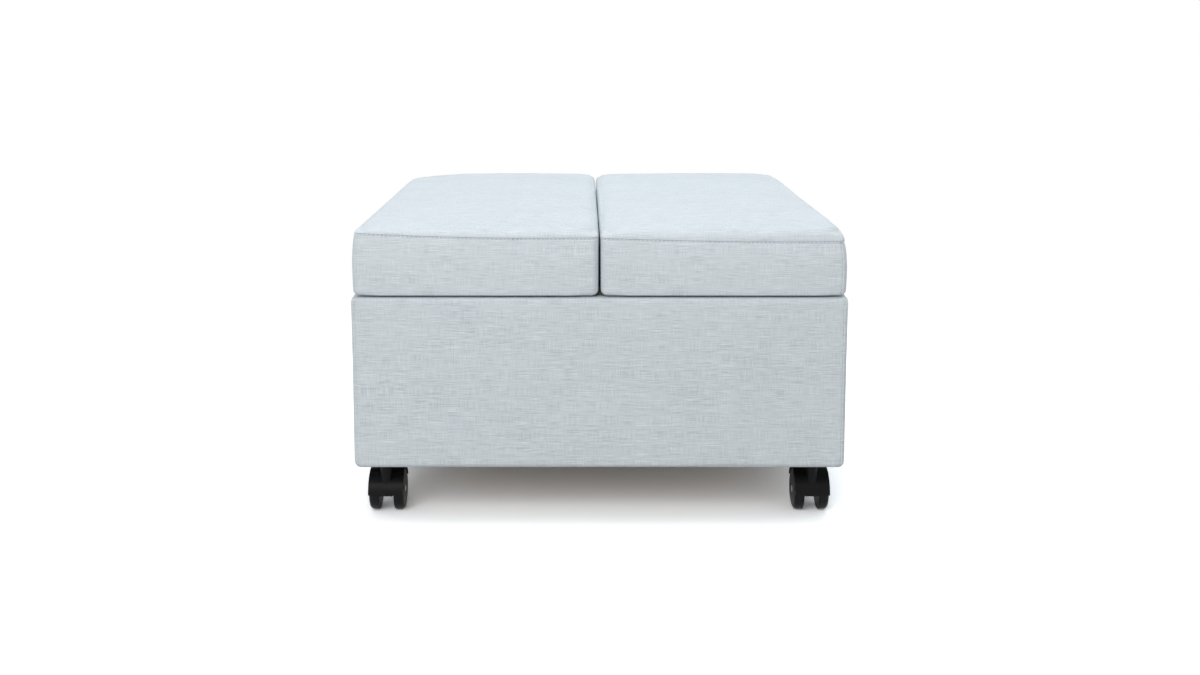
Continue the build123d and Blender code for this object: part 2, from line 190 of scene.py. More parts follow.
def linen(name, base, pale, dark):
    """Weave height is the sine along the width times the sine up the cloth, plus slubs.

    Noise stretched along the width gives streaks and bands, and noise stretched upwards gives uprights.
    Where the patch noise is high the streaks are strong and the uprights weak. Their sum draws the colour
    to the pale shade where it is high and to the dark one where it is low.
    """
    finish = Finish(name, Roughness=0.92, Sheen_Weight=0.12, Sheen_Roughness=0.5, Specular_IOR_Level=0.2)
    cloth = finish.node("UVMap", {"uv_map": "cloth"})
    across = finish.node("SeparateXYZ", None, {0: cloth}, 0)
    along = finish.node("SeparateXYZ", None, {0: cloth}, 1)
    turns = 2 * math.pi / THREAD
    weave = (across * turns).math("SINE") * (along * turns).math("SINE")
    wide_slub = finish.noise(cloth, (15, 520, 1)).between(0.55, 0.68)
    tall_slub = finish.noise(cloth, (520, 22, 1)).between(0.56, 0.70)
    streaks = finish.noise(cloth, (32, 640, 1), 3.0) - 0.5
    bands = finish.noise(cloth, (8, 190, 1)) - 0.5
    uprights = finish.noise(cloth, (640, 36, 1), 3.0) - 0.5
    patch = finish.noise(cloth, (34, 60, 1)).between(0.35, 0.65)
    cloud = finish.noise(cloth, (5, 7, 1)) - 0.5
    threads = streaks * 2.6 * (patch * 0.8 + 0.6) + uprights * 1.4 * (patch * -0.9 + 1.4)
    pale_share = wide_slub * 0.45 + tall_slub * 0.32 + threads * 0.8 + bands * 0.6
    dark_share = (threads * -1.1 + bands * -1.0 + cloud * -0.6 + 0.08).between(0.0, 0.7)
    colour = finish.mix(pale_share.between(0.0, 1.0), base, pale)
    colour = finish.mix(dark_share * 0.6, colour, dark)
    height = weave * 0.3 + wide_slub * 0.5 + tall_slub * 0.35 + threads * 0.5
    return finish.feed(Base_Color=colour, Normal=finish.relief(height, 0.0004, 0.7))


cushion_linen = linen("cushion_linen", srgb(207, 215, 220), srgb(227, 234, 239), srgb(180, 189, 194))
box_linen = linen("box_linen", srgb(204, 212, 217), srgb(224, 231, 236), srgb(174, 183, 189))
print("linen thread pitch", THREAD * 1000, "mm")

# %% [markdown]
# ## Sewing thread
# The front seam of each cushion is topstitched in a thread a little paler than the linen. A real stitch is
# twisted yarn, and its twist could be drawn as stripes. At this size only its even colour shows, so faint
# noise is enough.
# %% Thread finish
thread = Finish("linen_thread", Roughness=0.7)
thread_shade = thread.noise(thread.place(), (700, 700, 700))
thread.feed(Base_Color=thread.mix(thread_shade, srgb(220, 227, 231), srgb(234, 240, 244)))
print(len(thread.tree.nodes), "nodes in the thread's finish")

# %% [markdown]
# ## Ticking
# The mattress and the sleeping pads have a knitted ticking with small ribs, which shows only when the bed is
# open. The ribs are far too fine to model, so a wave in the surface's bump stands for them.
# %% Ticking finish
RIB = 0.0022


def ticking(name):
    """Ribs are a sine across the cloth, broken by fine noise."""
    finish = Finish(name, Roughness=0.85, Sheen_Weight=0.1)
    cloth = finish.node("UVMap", {"uv_map": "cloth"})
    ribs = (finish.node("SeparateXYZ", None, {0: cloth}, 0) * (2 * math.pi / RIB)).math("SINE")
    fleck = finish.noise(cloth, (600, 600, 1))
    colour = finish.mix(fleck.between(0.35, 0.65), srgb(202, 201, 195), srgb(220, 219, 214))
    return finish.feed(Base_Color=colour, Normal=finish.relief(ribs * 0.5 + fleck, 0.0003, 0.6))


mattress_ticking, pad_ticking = ticking("mattress_ticking"), ticking("sleep_pad_ticking")
print("ticking rib pitch", RIB * 1000, "mm")

# %% [markdown]
# ## Timber and hardboard
# Boards, slats and blocks are planed softwood, and the dust panel is brown hardboard. A picture of wood would
# show the same knots on every board, so both are made of noise. Softwood has growth rings that run along the
# grain, so its noise is stretched that way. Hardboard has fibres every way.
# %% Wood finishes
def timber():
    """Grain is noise stretched along the length; late wood is darker."""
    finish = Finish("planed_timber", Roughness=0.6)
    place = finish.place()
    grain = finish.noise(place, (9, 130, 130), 4.0)
    pores = finish.noise(place, (60, 1400, 1400))
    colour = finish.mix(grain.between(0.35, 0.65), srgb(214, 184, 142), srgb(184, 148, 104))
    return finish.feed(Base_Color=colour, Roughness=pores * 0.2 + 0.5,
                       Normal=finish.relief(grain + pores * 0.5, 0.0004, 0.5))


def hardboard():
    """Pressed fibres: fine noise, in the colour and in the surface."""
    finish = Finish("brown_hardboard", Roughness=0.7)
    fibre = finish.noise(finish.place(), (500, 500, 500), 4.0)
    colour = finish.mix(fibre, srgb(96, 72, 50), srgb(136, 106, 76))
    return finish.feed(Base_Color=colour, Normal=finish.relief(fibre, 0.0003, 0.6))


woods = {"timber": timber(), "hardboard": hardboard()}
print(len(woods), "wood finishes")

# %% [markdown]
# ## Steel and plastic
# Straps and rails are powder coated, the screws and plates are zinc plated, and the casters are moulded
# plastic. All have a nearly even colour, and an orange-peel surface that is too fine to model. One function
# makes them all from their two shades, their roughness, and how fine and how deep the peel is.
# %% Coated finishes
def coated(name, low, high, roughness, peel, depth, **constants):
    """A nearly even colour, with fine noise in the surface and cloudy noise in the gloss."""
    finish = Finish(name, **constants)
    place = finish.place()
    fine = finish.noise(place, (peel, peel, peel))
    cloud = finish.noise(place, (40, 40, 40))
    return finish.feed(Base_Color=finish.mix(cloud, low, high), Roughness=cloud * 0.15 + roughness,
                       Normal=finish.relief(fine, depth, 0.4))


finishes = woods | {
    "mattress_ticking": mattress_ticking,
    "sleep_pad_ticking": pad_ticking,
    "black_steel": coated("black_powder_coat", srgb(38, 38, 40), srgb(46, 46, 48), 0.42, 900, 0.0002),
    "zinc_steel": coated("bright_zinc", srgb(178, 182, 188), srgb(204, 207, 211), 0.22, 1500, 0.0001,
                         Metallic=1.0),
    "nylon": coated("natural_nylon", srgb(222, 221, 213), srgb(233, 232, 226), 0.45, 700, 0.0001),
    "caster_hood": coated("caster_plastic", srgb(9, 9, 10), srgb(15, 15, 16), 0.34, 500, 0.0002,
                          Specular_IOR_Level=0.10),
    "caster_wheel": coated("wheel_plastic", srgb(10, 10, 11), srgb(17, 17, 18), 0.36, 600, 0.0002,
                           Specular_IOR_Level=0.13),
    "linen_cushion": cushion_linen,
    "linen_box": box_linen,
}
print(len(finishes), "finishes")

# %% [markdown]
# ## Finishes on the model
# Every solid of the model names a material slot in its record. Each could be given a finish by its own line,
# but the record already says which, so one loop does it. The plain solids of soft parts are hidden later,
# when their padded pieces take their place.
# %% Put the finishes on the model's own nodes
slot_of = {part["node"]: part["material_slot"] for part in frame["record"]["subparts"]}
for node_name, node in frame["nodes"].items():
    for place in node.material_slots:
        place.material = finishes[slot_of[node_name]]
    if not node.material_slots:
        node.data.materials.append(finishes[slot_of[node_name]])
print(len(frame["nodes"]), "nodes finished")

# %% [markdown]
# ## A plain box as a grid
# Cushions, mattress and padded covers are all boxes whose edges and corners are soft. Such a form could be a
# cube with a bevel, but its points would then lie where the bevel puts them. Here a grid is laid on the six
# sides of a plain box, closer where the form will bend or where a seam will run.
# %% Grid lines
ARC_STEPS = 6


def ramp(value, start, length):
    """0 up to start, 1 from start + length, and a straight line between."""
    return np.clip((value - start) / length, 0, 1)


def grid_lines(half, zones, spacing, extra=()):
    """Places along one axis: even in the middle, closer in the zones at both ends, plus the extra ones."""
    high, low = half - zones[0], half - zones[1]
    middle = np.linspace(-low, high, max(2, round((low + high) / spacing) + 1))
    steps = np.linspace(0, 1, ARC_STEPS + 1)[1:]
    ends = [high + zones[0] * steps, -low - zones[1] * steps]
    return np.unique(np.round(np.concatenate([middle, *ends, np.asarray(extra, float)]), 6))


print("lines across 0.2 m:", len(grid_lines(0.1, (0.01, 0.01), 0.01)))

# %% Grid on a box
MICRONS = 1e6
SIDE_SHIFT, SIGN_SHIFT = 0.37, 0.11


def box_grid(half, lines):
    """Points, faces and UVs in metres of a box with grid lines on its sides, welded along its edges.

    A side's UVs are its own two places, shifted so that no two sides show the same stretch of cloth.
    """
    grids, faces, maps, start = [], [], [], 0
    for axis, first, second in ((0, 1, 2), (1, 2, 0), (2, 0, 1)):
        for sign in (-1, 1):
            a, b = np.meshgrid(lines[first], lines[second], indexing="ij")
            points = np.empty((a.size, 3))
            points[:, first], points[:, second], points[:, axis] = a.ravel(), b.ravel(), sign * half[axis]
            rows = np.arange(a.size).reshape(a.shape)
            quads = np.stack([rows[:-1, :-1], rows[1:, :-1], rows[1:, 1:], rows[:-1, 1:]], -1).reshape(-1, 4)
            faces.append((quads if sign > 0 else quads[:, ::-1]) + start)
            maps.append(np.delete(points, axis, axis=1) + SIDE_SHIFT * (axis + 1) + SIGN_SHIFT * sign)
            grids.append(points)
            start += a.size
    grid, faces = np.concatenate(grids), np.concatenate(faces)
    uvs = np.concatenate(maps)[faces.ravel()]
    first_seen, welded = np.unique(np.round(grid * MICRONS).astype(np.int64), axis=0,
                                   return_index=True, return_inverse=True)[1:]
    return grid[first_seen], welded.ravel()[faces], uvs


cube_lines = [grid_lines(0.1, (0.01, 0.01), 0.01)] * 3
print("points on a 0.2 m cube:", len(box_grid((0.1, 0.1, 0.1), cube_lines)[0]))

# %% [markdown]
# ## Soft edges and corners
# Foam under cloth has no sharp edge. Each grid point near an edge is moved onto an arc, and the outline's
# corners are turned in the same way, seen from above. Because the grid's points are only moved, seams and
# UVs stay where they were laid.
# %% Round a box
TINY = 1e-9


def round_off(grid, half, zones, corner, softness, rise=None):
    """Turns each edge by an arc, then turns the outline's corners.

    An edge's arc is as wide as its zone and as high as its rise. A point's angle on it goes with its drop
    from the top less its distance from the side. Softness is the share of the rounding that is applied.
    """
    inset = np.minimum(half[0] - abs(grid[:, 0]), half[1] - abs(grid[:, 1]))
    upper = grid[:, 2] >= 0
    drop = half[2] - abs(grid[:, 2])
    wide = np.where(upper, zones[0], zones[1])
    high = wide if rise is None else np.where(upper, rise, wide)
    angle = math.pi / 4 * (1 + np.clip(drop / high - inset / wide, -1, 1))
    arc_in, arc_down = wide * (1 - np.sin(angle)), high * (1 - np.cos(angle))
    new_inset = np.where(inset > wide, inset, inset + softness * (arc_in - inset))
    new_drop = np.where(drop > high, drop, drop + softness * (arc_down - drop))
    corner = np.broadcast_to(corner, len(grid))[:, None]
    core = np.clip(grid[:, :2], corner - np.array(half[:2]), np.array(half[:2]) - corner)
    arm = grid[:, :2] - core
    square = np.maximum(abs(arm).max(axis=1), TINY)[:, None]
    round_ = np.maximum(np.linalg.norm(arm, axis=1), TINY)[:, None]
    reach = corner - new_inset[:, None]
    share = softness[:, None]
    turned = core + arm * reach * ((1 - share) / square + share / round_)
    plan = np.where(inset[:, None] < corner, turned, grid[:, :2])
    return np.column_stack([plan, np.where(upper, 1, -1) * (half[2] - new_drop)])


def rounded(half, zones, corner, softness=None):
    """A plain soft form: round_off with one corner radius, and full rounding where no softness is given."""
    def shape(grid):
        share = np.ones(len(grid)) if softness is None else softness(grid)
        return round_off(grid, half, zones, corner, share)
    return shape


print("a corner of a 0.2 m box, rounded by 20 mm:",
      rounded((0.1, 0.1, 0.1), (0.02, 0.02), 0.02)(np.full((1, 3), 0.1)).round(4))

# %% [markdown]
# ## A soft box
# Some covers have a pocket in the underside for the board behind the cloth. It could be cut out, but a cut
# leaves ragged faces. Two close grid lines with a step between them make a clean pocket instead.
# %% Soft box
GRID_SPACING = 0.010
POCKET_WALL = 0.0004
TOUCH = 1e-6
NOT_ZERO = 1e-12


def soft_box(half, zones, spacing, shape, extras=((), (), ()), pocket=None):
    """Grid, shaped points, faces and UVs of a box. A pocket's two half sizes and its depth are optional."""
    level_zones = (max(zones),) * 2
    along_u, along_v = (list(extras[axis]) for axis in (0, 1))
    if pocket:
        for places, edge in ((along_u, pocket[0]), (along_v, pocket[1])):
            places += [sign * (edge + gap) for sign in (-1, 1) for gap in (0, POCKET_WALL)]
    lines = [grid_lines(half[0], level_zones, spacing, along_u),
             grid_lines(half[1], level_zones, spacing, along_v),
             grid_lines(half[2], zones, spacing, extras[2])]
    grid, faces, uvs = box_grid(half, lines)
    points = shape(grid)
    if pocket:
        inside = (grid[:, 2] <= -half[2] + TOUCH) & (abs(grid[:, 0]) <= pocket[0] + TOUCH)
        inside &= abs(grid[:, 1]) <= pocket[1] + TOUCH
        points[inside, 2] += pocket[2]
    return grid, points, faces, uvs


def outward(points, faces):
    """Point normals: the sum of the cross products of the diagonals of the faces around each point."""
    corners = points[faces]
    across = np.cross(corners[:, 2] - corners[:, 0], corners[:, 3] - corners[:, 1])
    total = np.zeros_like(points)
    for corner in range(4):
        np.add.at(total, faces[:, corner], across)
    return total / np.maximum(np.linalg.norm(total, axis=1), NOT_ZERO)[:, None]


print("pocket wall", POCKET_WALL * 1000, "mm")

# %% [markdown]
# ## Unevenness and sewn lines
# Cloth over foam is never quite flat, and a seam draws it in. Both could be left to a bump in the finish, but
# then the outline would stay straight. A few long waves and a narrow bell curve move the points themselves.
# %% Small reliefs
SEAM_LINE = np.array([-0.0034, -0.0017, -0.0008, 0, 0.0008, 0.0017, 0.0034])


def ripple(grid, seed, size, waves=14, shortest=0.06, longest=0.45):
    """Slow unevenness of cloth over foam: a sum of sine waves in random directions."""
    draw = np.random.default_rng(seed)
    headings = draw.normal(size=(waves, 3))
    headings /= np.linalg.norm(headings, axis=1)[:, None]
    lengths = draw.uniform(shortest, longest, waves)
    phases = draw.uniform(0, 2 * math.pi, waves)
    heights = np.sin(grid @ (headings / lengths[:, None]).T * 2 * math.pi + phases)
    return size * heights @ np.sqrt(lengths) / math.sqrt(waves * longest)


def groove(distance, depth, width=0.0013):
    """A sewn line: a bell curve pressed in along the line."""
    return -depth * np.exp(-((distance / width) ** 2))


print("grid lines for a seam, in mm:", SEAM_LINE * 1000)

# %% [markdown]
# ## Into place
# A piece is shaped lying on its back, with its face upwards, and then carried to its place in the model. The
# place goes into the mesh and not into the object, so that patterns don't slide when the piece rides on a
# moving part.
# %% Make a piece
X, Y, Z = np.eye(3)


def make_piece(name, points, faces, uvs, material, axes=(X, Y, Z), centre=(0, 0, 0)):
    """Carries local points into place: each axis of the piece is one of the model's directions."""
    mesh = bpy.data.meshes.new(name)
    world = points @ np.array(axes, float) + np.array(centre)
    mesh.from_pydata(world, [], faces.tolist())
    if uvs is not None:
        mesh.uv_layers.new(name="cloth").data.foreach_set("uv", uvs.astype(np.float32).ravel())
    mesh.materials.append(material)
    mesh.shade_smooth()
    mesh.update()
    piece = bpy.data.objects.new(name, mesh)
    bpy.context.scene.collection.objects.link(piece)
    return piece


def node_span(name):
    """Centre and half sizes, in metres, of the box round a node."""
    low, high = (np.array(list(corner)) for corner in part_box(name))
    return (low + high) / 2, (high - low) / 2


print("half sizes of the left cushion", node_span("left_cushion")[1].round(4))

# %% [markdown]
# ## The form of the top cushions
# Each cushion is firm foam in a tailored cover. The top panel rolls softly over the edge to a topstitched
# seam, which was sewn a little aslant, so its height is a line that sags between the cushion's two sides. A
# bevel would be even all round, and this roll isn't, so the form is a sum of its own.
# %% Seam line
SEAM_DROPS = {-1: (0.0095, 0.0150, 0.0040), 1: (0.0250, 0.0160, 0.0025)}


def seam_place(half, side, u):
    """Height of the seam: a line from its drop at the outer side to that at the split, sagging between."""
    outer, inner, sag = SEAM_DROPS[side]
    share = (1 - side * u / half[0]) / 2
    return half[2] - outer - (inner - outer) * share - sag * np.sin(math.pi * share)


print("seam drops in mm, at the outer side, at the split and between:", np.array(SEAM_DROPS[-1]) * 1000)

# %% Cushion form
CUSHION_ZONES = (0.020, 0.010)
CORNER_SAG = {-1: 0.008, 1: 0.003}
SAG_REACH = 0.09
OUTER_LIFT = 0.003
BODY_CORNER, INNER_TOP_CORNER, OUTER_TOP_CORNER = 0.014, 0.040, 0.044
CORNER_GROWTH = 0.004
LOW_SOFTNESS, CORNER_BAND, CORNER_RAMP = 0.5, 0.050, 0.030
LEAN_ABOVE, LEAN_BELOW, LEAN_FRONT_SHARE, LEAN_BAND = 0.0045, 0.0015, 0.8, 0.05


def cushion_shape(half, side):
    """A box whose top rolls down to the seam, with large corners on top and small ones below.

    Its sides lean in above and below their middle, the outer part stands a little higher, and the outer
    corner at the back sags by a bell curve.
    """
    def shape(grid):
        u, v, w = grid.T
        rise = half[2] - seam_place(half, side, u)
        on_top = ramp(w, half[2] - rise, rise) ** 2
        outer_corner = OUTER_TOP_CORNER + CORNER_GROWTH * v / half[1]
        top_corner = np.where(u * side > 0, outer_corner, INNER_TOP_CORNER)
        near_u = ramp(abs(u), half[0] - CORNER_BAND, CORNER_RAMP)
        near_v = ramp(abs(v), half[1] - CORNER_BAND, CORNER_RAMP)
        softness = np.where(w >= 0, 1.0, LOW_SOFTNESS + (1 - LOW_SOFTNESS) * near_u * near_v)
        corner = BODY_CORNER + (top_corner - BODY_CORNER) * on_top
        points = round_off(grid, half, CUSHION_ZONES, corner, softness, rise)
        level = ramp(w, -half[2], 2 * half[2] - rise)
        lean = LEAN_ABOVE * ramp(level, 0.5, 0.5) ** 2 + LEAN_BELOW * (1 - ramp(level, 0, 0.5)) ** 2
        points[:, 0] -= side * lean * ramp(side * u, half[0] - LEAN_BAND, LEAN_BAND)
        points[:, 1] -= np.sign(v) * lean * LEAN_FRONT_SHARE * ramp(abs(v), half[1] - LEAN_BAND, LEAN_BAND)
        reach = ((side * u - half[0]) ** 2 + (v - half[1]) ** 2) / SAG_REACH ** 2
        sag = CORNER_SAG[side] * np.exp(-reach) * level
        lift = OUTER_LIFT * level * ramp(side * u, -half[0], 2 * half[0])
        return points - np.column_stack([side * sag, 0 * sag, sag - lift])
    return shape


print("sag of the back corners, in mm:", [CORNER_SAG[side] * 1000 for side in (-1, 1)])

# %% [markdown]
# ## The cushions' surface
# On the real cushion the top is slightly crowned, and the two inner sides swell until they almost meet. The
# outer side never moves outwards, because the hinge straps lie on it. The seams are drawn in. All of these
# are moves along the surface's own direction, so they can be added up.
# %% Cushion surface
TOP_CROWN = 0.0018
INNER_SWELL, OUTER_SWELL = 0.0024, -0.0008
SEAM_DEPTH, UPRIGHT_DEPTH = 0.0032, 0.0014
CUSHION_UPRIGHT = 0.009
CUSHION_UNEVEN, CUSHION_SEEDS = 0.0008, {-1: 7, 1: 11}
HELD_HEIGHT = 0.03


def cushion_form(half, side):
    """How far each point moves out: a crown on top, swelling sides, sewn lines and slow unevenness."""
    def form(grid):
        u, v, w = grid.T
        on_top = w >= half[2] - TOUCH
        on_u, on_v = abs(u) >= half[0] - TOUCH, abs(v) >= half[1] - TOUCH
        level = np.sin(math.pi * ramp(w, -half[2], 2 * half[2])) ** 0.5
        seam = seam_place(half, side, u)
        move = np.where(on_top, TOP_CROWN * (1 - abs(u / half[0]) ** 3) * (1 - abs(v / half[1]) ** 4), 0.0)
        swell = np.where(u * side < 0, INNER_SWELL, OUTER_SWELL)
        move += np.where(on_u, swell * level * (1 - (v / half[1]) ** 8), 0)
        move += np.where(on_u | on_v, groove(w - seam, SEAM_DEPTH), 0)
        upright = groove(u - side * (half[0] - CUSHION_UPRIGHT), UPRIGHT_DEPTH)
        move += np.where(on_v & (w < seam), upright, 0)
        uneven = ripple(grid, CUSHION_SEEDS[side], CUSHION_UNEVEN) * ramp(w, -half[2], HELD_HEIGHT)
        return move + np.where(on_u, -abs(uneven) * 0.5, uneven)
    return form


print("upright seam", CUSHION_UPRIGHT * 1000, "mm in from the outer side")

# %% [markdown]
# ## How the cover swells
# Foam presses evenly on its cover. A formula could only guess at the form in which cloth gives way, so a
# cloth simulation with pressure finds it. It runs on a coarse copy, which is quick. Left free, that cloth
# moves by several centimetres, so its moves are scaled down to a few millimetres. Each fine point then takes
# the mean of the moves near it.
# %% Simulate the cover
SWELL = np.array([0.0, 0.0016, 0.0030])
COARSE_SPACING = 0.020
HELD_BAND = 0.012
PRESSURE = 4
LAST_FRAME = 20


def swelling(name, half, shape):
    """Runs pressure inside a coarse cover whose underside is held.

    On each axis the moves are divided by the largest one and multiplied by the wanted size.
    """
    grid, points, faces, uvs = soft_box(half, CUSHION_ZONES, COARSE_SPACING, shape)
    coarse = make_piece(name, points, faces, uvs, cushion_linen)
    held = coarse.vertex_groups.new(name="held")
    held.add(np.flatnonzero(grid[:, 2] < -half[2] + HELD_BAND).tolist(), 1.0, "REPLACE")
    cloth = coarse.modifiers.new("cloth", "CLOTH")
    cloth.settings.quality = 6
    cloth.settings.use_pressure = True
    cloth.settings.uniform_pressure_force = PRESSURE
    cloth.settings.vertex_group_mass = "held"
    cloth.settings.effector_weights.gravity = 0
    cloth.point_cache.frame_start, cloth.point_cache.frame_end = 1, LAST_FRAME
    for step in range(1, LAST_FRAME + 1):
        bpy.context.scene.frame_set(step)
    settled = coarse.evaluated_get(bpy.context.evaluated_depsgraph_get()).to_mesh()
    places = np.empty(len(points) * 3, np.float32)
    settled.vertices.foreach_get("co", places)
    moves = places.reshape(-1, 3) - points
    print(name, "largest free move", round(float(abs(moves).max()) * 1000, 1), "mm")
    bpy.data.objects.remove(coarse)
    bpy.context.scene.frame_set(1)
    return grid, moves / abs(moves).max(axis=0) * SWELL


print("wanted swell on each axis, in mm:", SWELL * 1000)

# %% Spread the moves
ROWS_AT_ONCE = 1500


def spread(grid, coarse_grid, moves, reach=0.018):
    """Each point takes the mean of the coarse moves, weighted by a bell curve of their distance."""
    found = np.empty_like(grid)
    for rows in np.array_split(np.arange(len(grid)), max(1, len(grid) // ROWS_AT_ONCE)):
        gap = ((grid[rows, None] - coarse_grid[None]) ** 2).sum(axis=2)
        weight = np.exp(-gap / reach ** 2)
        found[rows] = weight @ moves / np.maximum(weight.sum(axis=1, keepdims=True), NOT_ZERO)
    return found


print("coarse moves are averaged for", ROWS_AT_ONCE, "points at a time")

# %% [markdown]
# ## Stitches
# The topstitching is a row of short threads lying in the seam's groove. A dashed line in the finish would
# look flat from the side, so each stitch is a small egg. It is worked out once and repeated along the seam,
# and it has few faces because there are hundreds.
# %% One stitch
EGG_SIDES = 6


def stitch_egg():
    """Points and triangles of an egg of radius 1: three rings and two tips."""
    ring = np.arange(EGG_SIDES)
    ahead = np.repeat([-0.6, 0.0, 0.6], EGG_SIDES)
    radius = np.sqrt(1 - ahead ** 2)
    angle = np.tile(ring * 2 * math.pi / EGG_SIDES, 3)
    tips = np.array([(-1, 0, 0), (1, 0, 0)], float)
    rings = np.column_stack([ahead, radius * np.cos(angle), radius * np.sin(angle)])
    points = np.vstack([tips[:1], rings, tips[1:]])
    a, b = 1 + ring, 1 + (ring + 1) % EGG_SIDES
    last, tip = 2 * EGG_SIDES, np.zeros(EGG_SIDES, int)
    faces = [(tip, b, a), (tip + 3 * EGG_SIDES + 1, a + last, b + last)]
    for belt in (0, EGG_SIDES):
        p, q, r, s = a + belt, b + belt, b + belt + EGG_SIDES, a + belt + EGG_SIDES
        faces += [(p, q, r), (p, r, s)]
    return points, np.concatenate([np.column_stack(face) for face in faces])


print("faces of a stitch:", len(stitch_egg()[1]))

# %% A row of stitches
def stitches(name, places, outs, material, pitch=0.0076, long=0.0023, thick=0.0011):
    """A row of eggs, one every pitch along a closed line, each turned along the line and outwards."""
    steps = np.linalg.norm(np.roll(places, -1, axis=0) - places, axis=1)
    run = np.concatenate([[0], np.cumsum(steps)])
    count = int(run[-1] / pitch)
    at = np.arange(count) * run[-1] / count
    closed, closed_out = np.vstack([places, places[:1]]), np.vstack([outs, outs[:1]])
    centre = np.column_stack([np.interp(at, run, closed[:, axis]) for axis in range(3)])
    out = np.column_stack([np.interp(at, run, closed_out[:, axis]) for axis in range(3)])
    ahead = np.roll(centre, -1, axis=0) - np.roll(centre, 1, axis=0)
    ahead /= np.linalg.norm(ahead, axis=1)[:, None]
    up = np.cross(out, ahead)
    egg, egg_faces = stitch_egg()
    egg = egg * (long, thick, thick)
    points = (centre[:, None] + egg[None, :, :1] * ahead[:, None]
              + egg[None, :, 1:2] * out[:, None] + egg[None, :, 2:] * up[:, None]).reshape(-1, 3)
    faces = (egg_faces[None] + (np.arange(count) * len(egg))[:, None, None]).reshape(-1, 3)
    print(name, count, "stitches")
    return make_piece(name, points, faces, None, material)


def outline(half, height, count=400):
    """Points round a rectangle at one height, anticlockwise, evenly spread along each side."""
    share = np.linspace(-1, 1, count, endpoint=False)
    one = np.ones(count)
    u = np.concatenate([share, one, -share, -one]) * half[0]
    v = np.concatenate([-one, share, one, -share]) * half[1]
    return np.column_stack([u, v, np.full(len(u), height)])


print("points on an outline:", len(outline((1, 1), 0)))

# %% [markdown]
# ## The two top cushions
# Each cushion takes its plain form, its surface moves and its share of the simulated swell, in that order.
# It stands for the model's plain cushion, and its underside has a pocket for the board and the sleeping pad.
# The stitches follow the same seam, lifted onto the moved surface.
# %% Cushions
CROWN_RISE = 0.0065
SEAM_BAND = np.arange(0.001, 0.027, 0.001)
STITCH_LIFT, STITCH_DROP = 0.0026, 0.0002


def seam_row(half, side, shape, form):
    """The line of the seam, its shaped and lifted places, and the directions in which they are lifted.

    A direction is the cross product of the seam's run and of a short step up the cloth.
    """
    line = outline(half, 0)
    line[:, 2] = seam_place(half, side, line[:, 0]) - STITCH_DROP
    row, below = shape(line), shape(line - (0, 0, 0.001))
    ahead = np.roll(row, -1, axis=0) - np.roll(row, 1, axis=0)
    out = np.cross(ahead, row - below)
    out /= np.linalg.norm(out, axis=1)[:, None]
    return line, row + out * (form(line)[:, None] + STITCH_LIFT), out


for name, side in (("left", -1), ("right", 1)):
    centre, half = node_span(f"{name}_cushion")
    board_centre, board_half = node_span(f"{name}_cushion_board")
    depth = (board_centre + board_half - centre + half)[2]
    centre, half = centre + (0, 0, CROWN_RISE / 2), half + (0, 0, CROWN_RISE / 2)
    form, shape = cushion_form(half, side), cushion_shape(half, side)
    upright_lines = side * (half[0] - CUSHION_UPRIGHT) + SEAM_LINE
    extras, pocket = (upright_lines, (), half[2] - SEAM_BAND), (board_half[0], board_half[1], depth)
    grid, points, faces, uvs = soft_box(half, CUSHION_ZONES, GRID_SPACING, shape, extras, pocket)
    coarse_grid, moves = swelling(f"{name}_coarse", half, shape)
    points += outward(points, faces) * form(grid)[:, None]
    points += spread(grid, coarse_grid, moves) * ramp(grid[:, 2], -half[2], HELD_HEIGHT)[:, None]
    cushion = make_piece(f"{name}_cushion_soft", points, faces, uvs, cushion_linen, (X, Y, Z), centre)
    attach(cushion, f"{name}_wing")
    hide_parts(f"{name}_cushion")
    line, row, out = seam_row(half, side, shape, form)
    row = row + spread(line, coarse_grid, moves) + centre
    seam = stitches(f"{name}_cushion_stitches", row, out, thread.material)
    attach(seam, f"{name}_wing")
    print(cushion.name, len(points), "points")

# %% [markdown]
# ## The padded covers of the box
# The box's cloth is stretched over thin padding on each board. A single sleeve round the box would tear when
# the ends are pulled out, so each board has its own cover. The same soft box makes all six, turned so that
# its pocket faces the board. The front and back have an upright seam 7 mm in from each corner.
# %% Cover form
COVER_ZONES, COVER_CORNER = (0.010, 0.0012), 0.012
COVER_SWELL, COVER_GROOVE, COVER_UNEVEN = 0.0014, 0.0013, 0.0007
COVER_UPRIGHT = 0.007
EDGE_BAND = 0.030


def cover_form(half, seams, seed):
    """A very slight swell in the middle of the face, sewn lines near the ends and slow unevenness."""
    def form(grid):
        u, v, w = grid.T
        face = w >= half[2] - TOUCH
        move = np.where(face, COVER_SWELL * (1 - (u / half[0]) ** 6) * (1 - (v / half[1]) ** 6), 0)
        for place in seams:
            move += np.where(face, groove(u - place, COVER_GROOVE), 0)
        return move + np.where(face, ripple(grid, seed, COVER_UNEVEN), 0)
    return form


def edge_softness(half, top, sides, bottom):
    """Share of the full rounding: one value at the sides, others near the top and bottom edges."""
    def softness(grid):
        near_top = ramp(grid[:, 1], half[1] - EDGE_BAND, EDGE_BAND / 2)
        near_bottom = ramp(-grid[:, 1], half[1] - EDGE_BAND, EDGE_BAND / 2)
        return sides + (top - sides) * near_top + (bottom - sides) * near_bottom
    return softness


print("upright seams", COVER_UPRIGHT * 1000, "mm in from the ends")

# %% Covers
FIRST_COVER_SEED = 21

